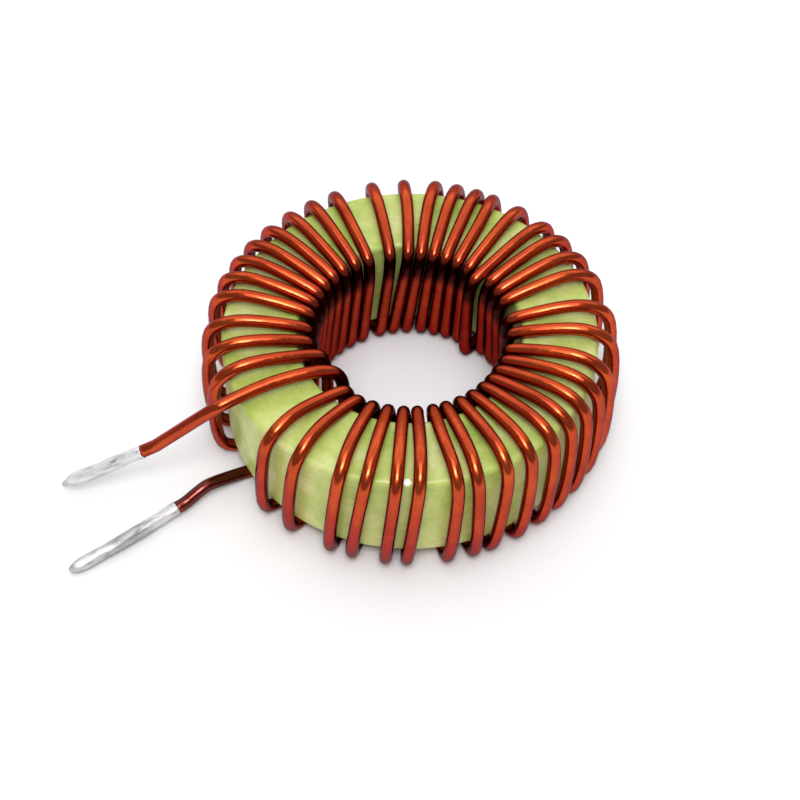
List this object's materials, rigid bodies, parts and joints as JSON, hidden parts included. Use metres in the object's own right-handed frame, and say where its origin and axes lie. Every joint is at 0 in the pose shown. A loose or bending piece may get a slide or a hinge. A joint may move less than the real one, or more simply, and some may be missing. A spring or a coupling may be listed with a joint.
{
  "type": "toroidal inductor",
  "caption": "Ring-shaped inductor: a coated powder core wound with a single layer of thick enamelled copper wire, with two tinned leads leaving on one side.",
  "frame": {"origin": "on the ring's axis, in the plane of the undersides of the turns that it lies on", "axes": "+Z along the ring's axis, up as it lies flat; the two leads leave on the -X side"},
  "size_m": [0.0486, 0.0357, 0.0135],
  "materials": {
    "core_coat": "glossy yellow-green epoxy coat",
    "enamelled_copper": "copper under glossy orange-red enamel",
    "tinned_copper": "uneven bright solder coat"
  },
  "bodies": {
    "root": {"toroid_core": "core_coat", "winding": "enamelled_copper", "upper_tinned_end": "tinned_copper", "lower_tinned_end": "tinned_copper"}
  },
  "joints": []
}
